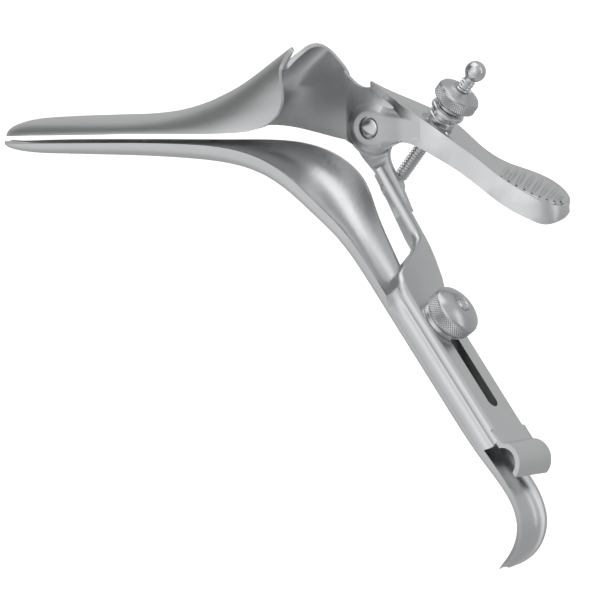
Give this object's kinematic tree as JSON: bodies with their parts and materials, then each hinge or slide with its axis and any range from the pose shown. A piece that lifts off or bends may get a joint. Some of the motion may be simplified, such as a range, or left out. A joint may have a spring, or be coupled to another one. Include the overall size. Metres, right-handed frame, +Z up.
{
  "type": "bivalve speculum",
  "caption": "Stainless steel bivalve vaginal speculum open on one side, with lever, threaded rod and thumb nut, and a slotted slide clamped to a trough handle with a finger hook",
  "frame": {"origin": "the point where the hinge line crosses the blades' middle plane, in the mouth of the passage between the blades", "axes": "+X along the blades from their tips to the operator, +Y across from the open side to the hinge side, +Z up from the lower blade to the upper blade"},
  "size_m": [0.2132, 0.0697, 0.1793],
  "materials": {
    "satin_steel": "satin",
    "bright_steel": "polished",
    "knurled_steel": "knurled"
  },
  "bodies": {
    "lower_half": {"lower_blade": "satin_steel", "clamp_stud": "bright_steel"},
    "slide_frame": {"frame": "satin_steel", "hinge_screw": "bright_steel", "hinge_washer": "bright_steel", "hinge_nut": "bright_steel", "rod_rivet": "satin_steel"},
    "upper_half": {"upper_blade": "satin_steel"},
    "screw_rod": {"rod": "bright_steel", "rod_ball": "bright_steel"},
    "nut_swivel": {"nut_collar": "bright_steel"},
    "nut": {"thumb_nut": "knurled_steel"},
    "clamp_ring": {"clamp_washer": "bright_steel"},
    "clamp": {"clamp_nut": "knurled_steel"}
  },
  "joints": [
    {"name": "blade_parting", "type": "slide", "parent": "lower_half", "child": "slide_frame", "axis": [-0.5707, 0, 0.8211], "range_m": [0, 0.025]},
    {"name": "blade_tilt", "type": "hinge", "parent": "slide_frame", "child": "upper_half", "pos_m": [0, 0.0186, 0], "axis": [0, 1, 0], "range_deg": [0, 24]},
    {"name": "rod_lean", "type": "hinge", "parent": "slide_frame", "child": "screw_rod", "pos_m": [0.0031, 0.0234, -0.02105], "axis": [0, 1, 0], "range_deg": [0, 14]},
    {"name": "nut_travel", "type": "slide", "parent": "screw_rod", "child": "nut_swivel", "axis": [-0.6691, 0, -0.7431], "range_m": [0, 0.0085]},
    {"name": "nut_turn", "type": "hinge", "parent": "nut_swivel", "child": "nut", "pos_m": [0.0225, 0.0234, 0.0005], "axis": [0.6691, 0, 0.7431], "continuous": true},
    {"name": "clamp_lift", "type": "slide", "parent": "lower_half", "child": "clamp_ring", "axis": [0.8211, 0, 0.5707], "range_m": [0, 0.0013]},
    {"name": "clamp_turn", "type": "hinge", "parent": "clamp_ring", "child": "clamp", "pos_m": [0.0428, 0, -0.06159], "axis": [0.8211, 0, 0.5707], "range_deg": [0, 360]}
  ],
  "couplings": [
    {"joint": "rod_lean", "follows": "blade_tilt", "ratio": 0.545},
    {"joint": "nut_travel", "follows": "blade_tilt", "m_per_rad": 0.0181},
    {"joint": "clamp_lift", "follows": "clamp_turn", "m_per_rad": 0.000175}
  ]
}
